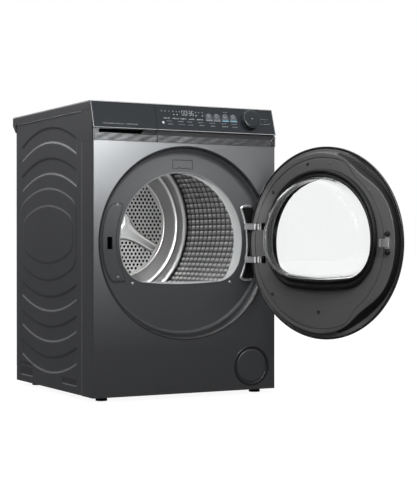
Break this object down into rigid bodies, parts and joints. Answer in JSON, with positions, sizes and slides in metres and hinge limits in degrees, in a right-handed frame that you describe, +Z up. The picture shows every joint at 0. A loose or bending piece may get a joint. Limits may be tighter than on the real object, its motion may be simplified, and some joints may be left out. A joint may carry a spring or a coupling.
{
  "type": "clothes dryer",
  "caption": "Free-standing heat-pump clothes dryer with a round hinged door, spinning drum, pull-out water tank, control panel and adjustable feet.",
  "frame": {"origin": "floor level, at the centre of the four feet", "axes": "+Z up, -Y out of the door side, +X to the right seen from the front"},
  "size_m": [0.7113, 1.1378, 0.85],
  "materials": {
    "base_plastic": "matt",
    "graphite_steel": "satin",
    "silver_steel": "metallic satin",
    "galvanised_steel": "zinc",
    "worktop_board": "laminated, satin",
    "dark_plastic": "matt",
    "panel_gloss": "gloss",
    "electronics": "board",
    "trim_silver": "metallised",
    "grey_plastic": "matt",
    "recess_plastic": "satin",
    "black_metal": "black paint",
    "chrome": "polished",
    "screw_steel": "zinc",
    "light_plastic": "satin",
    "bearing_steel": "ground",
    "belt_rubber": "ribbed",
    "cast_motor": "cast",
    "fin_aluminium": "bright",
    "door_gloss": "gloss",
    "smoked_glass": "clear",
    "liner_plastic": "matt",
    "seal_rubber": "matt",
    "clear_glass": "clear",
    "drum_steel": "bright stainless",
    "filter_plastic": "matt",
    "knob_metal": "satin",
    "silver_plastic": "metallic",
    "foot_rubber": "matt"
  },
  "bodies": {
    "cabinet": {"base_tray": "base_plastic", "side_panel_left": "graphite_steel", "side_panel_right": "graphite_steel", "front_panel": "silver_steel", "rear_panel": "galvanised_steel", "rear_duct_cover": "galvanised_steel", "top_panel": "worktop_board", "fascia_frame": "dark_plastic", "fascia_glass": "panel_gloss", "display_board": "electronics", "control_trim": "trim_silver", "tank_guide": "grey_plastic", "door_surround": "recess_plastic", "latch_cover": "recess_plastic", "hinge_plate": "black_metal", "hinge_arms": "chrome", "surround_screws": "screw_steel", "front_bulkhead": "galvanised_steel", "front_collar": "light_plastic", "filter_housing": "dark_plastic", "rear_bulkhead": "galvanised_steel", "rear_bearing": "bearing_steel", "drive_belt": "belt_rubber", "motor_housing": "cast_motor", "evaporator": "fin_aluminium", "condenser": "fin_aluminium", "compressor": "black_metal", "condensate_pump": "dark_plastic", "control_board_box": "grey_plastic", "mains_inlet": "dark_plastic"},
    "door": {"door_outer_ring": "door_gloss", "door_outer_glass": "smoked_glass", "door_liner": "liner_plastic", "door_screws": "screw_steel", "door_gasket": "seal_rubber", "door_window": "clear_glass", "door_hinge_bracket": "black_metal", "door_latch_hook": "chrome", "door_buffers": "seal_rubber"},
    "drum": {"drum_shell": "drum_steel", "drum_rear_wall": "drum_steel", "drum_spider": "drum_steel", "drum_lifters": "grey_plastic", "drum_shaft": "bearing_steel"},
    "motor_rotor": {"motor_shaft": "bearing_steel", "fan_wheel": "dark_plastic"},
    "tension_arm": {"idler_arm": "black_metal"},
    "tension_pulley": {"idler_pulley": "bearing_steel"},
    "roller_left": {"front_roller_left": "dark_plastic"},
    "roller_right": {"front_roller_right": "dark_plastic"},
    "tank": {"tank_body": "grey_plastic", "tank_front": "panel_gloss"},
    "filter": {"lint_filter": "filter_plastic"},
    "program_knob": {"knob": "knob_metal"},
    "start_button": {"power_button": "panel_gloss"},
    "flap": {"service_flap": "silver_plastic"},
    "front_left_foot": {"foot_front_left": "foot_rubber"},
    "front_right_foot": {"foot_front_right": "foot_rubber"},
    "rear_left_foot": {"foot_rear_left": "foot_rubber"},
    "rear_right_foot": {"foot_rear_right": "foot_rubber"}
  },
  "joints": [
    {"name": "door_swing", "type": "hinge", "parent": "cabinet", "child": "door", "pos_m": [0.24, -0.3015, 0.448], "axis": [0, 0, 1], "range_deg": [-109, 12]},
    {"name": "drum_spin", "type": "hinge", "parent": "cabinet", "child": "drum", "pos_m": [0, 0.0075, 0.508], "axis": [0, 1, 0], "continuous": true},
    {"name": "motor_spin", "type": "hinge", "parent": "cabinet", "child": "motor_rotor", "pos_m": [0.15, 0.0775, 0.095], "axis": [0, 1, 0], "continuous": true},
    {"name": "tension_arm_swing", "type": "hinge", "parent": "cabinet", "child": "tension_arm", "pos_m": [0.117, 0.0225, 0.11], "axis": [0, 1, 0], "range_deg": [0, 8], "stiffness_Nm_per_rad": 12, "springref_deg": -8.59},
    {"name": "tension_pulley_spin", "type": "hinge", "parent": "tension_arm", "child": "tension_pulley", "pos_m": [0.062, 0.0135, 0.146], "axis": [0, 1, 0], "continuous": true},
    {"name": "roller_left_spin", "type": "hinge", "parent": "cabinet", "child": "roller_left", "pos_m": [-0.16192, -0.1675, 0.25866], "axis": [0, 1, 0], "continuous": true},
    {"name": "roller_right_spin", "type": "hinge", "parent": "cabinet", "child": "roller_right", "pos_m": [0.16192, -0.1675, 0.25866], "axis": [0, 1, 0], "continuous": true},
    {"name": "tank_slide", "type": "slide", "parent": "cabinet", "child": "tank", "axis": [0, -1, 0], "range_m": [0, 0.4]},
    {"name": "filter_lift", "type": "slide", "parent": "cabinet", "child": "filter", "axis": [0, 0, 1], "range_m": [0, 0.15]},
    {"name": "knob_turn", "type": "hinge", "parent": "cabinet", "child": "program_knob", "pos_m": [0.215, -0.29149, 0.81542], "axis": [0, -0.953, 0.303], "continuous": true},
    {"name": "button_press", "type": "slide", "parent": "cabinet", "child": "start_button", "axis": [0, 0.953, -0.303], "range_m": [0, 0.0015], "stiffness_N_per_m": 600, "springref_m": -0.001},
    {"name": "flap_pull", "type": "slide", "parent": "cabinet", "child": "flap", "axis": [0, -1, 0], "range_m": [0, 0.05]},
    {"name": "front_left_foot_screw", "type": "slide", "parent": "cabinet", "child": "front_left_foot", "axis": [0, 0, -1], "range_m": [0, 0.012]},
    {"name": "front_right_foot_screw", "type": "slide", "parent": "cabinet", "child": "front_right_foot", "axis": [0, 0, -1], "range_m": [0, 0.012]},
    {"name": "rear_left_foot_screw", "type": "slide", "parent": "cabinet", "child": "rear_left_foot", "axis": [0, 0, -1], "range_m": [0, 0.012]},
    {"name": "rear_right_foot_screw", "type": "slide", "parent": "cabinet", "child": "rear_right_foot", "axis": [0, 0, -1], "range_m": [0, 0.012]}
  ],
  "couplings": [
    {"joint": "motor_spin", "follows": "drum_spin", "ratio": 23.083},
    {"joint": "tension_pulley_spin", "follows": "drum_spin", "ratio": 18.467},
    {"joint": "roller_left_spin", "follows": "drum_spin", "ratio": -13.85},
    {"joint": "roller_right_spin", "follows": "drum_spin", "ratio": -13.85}
  ]
}
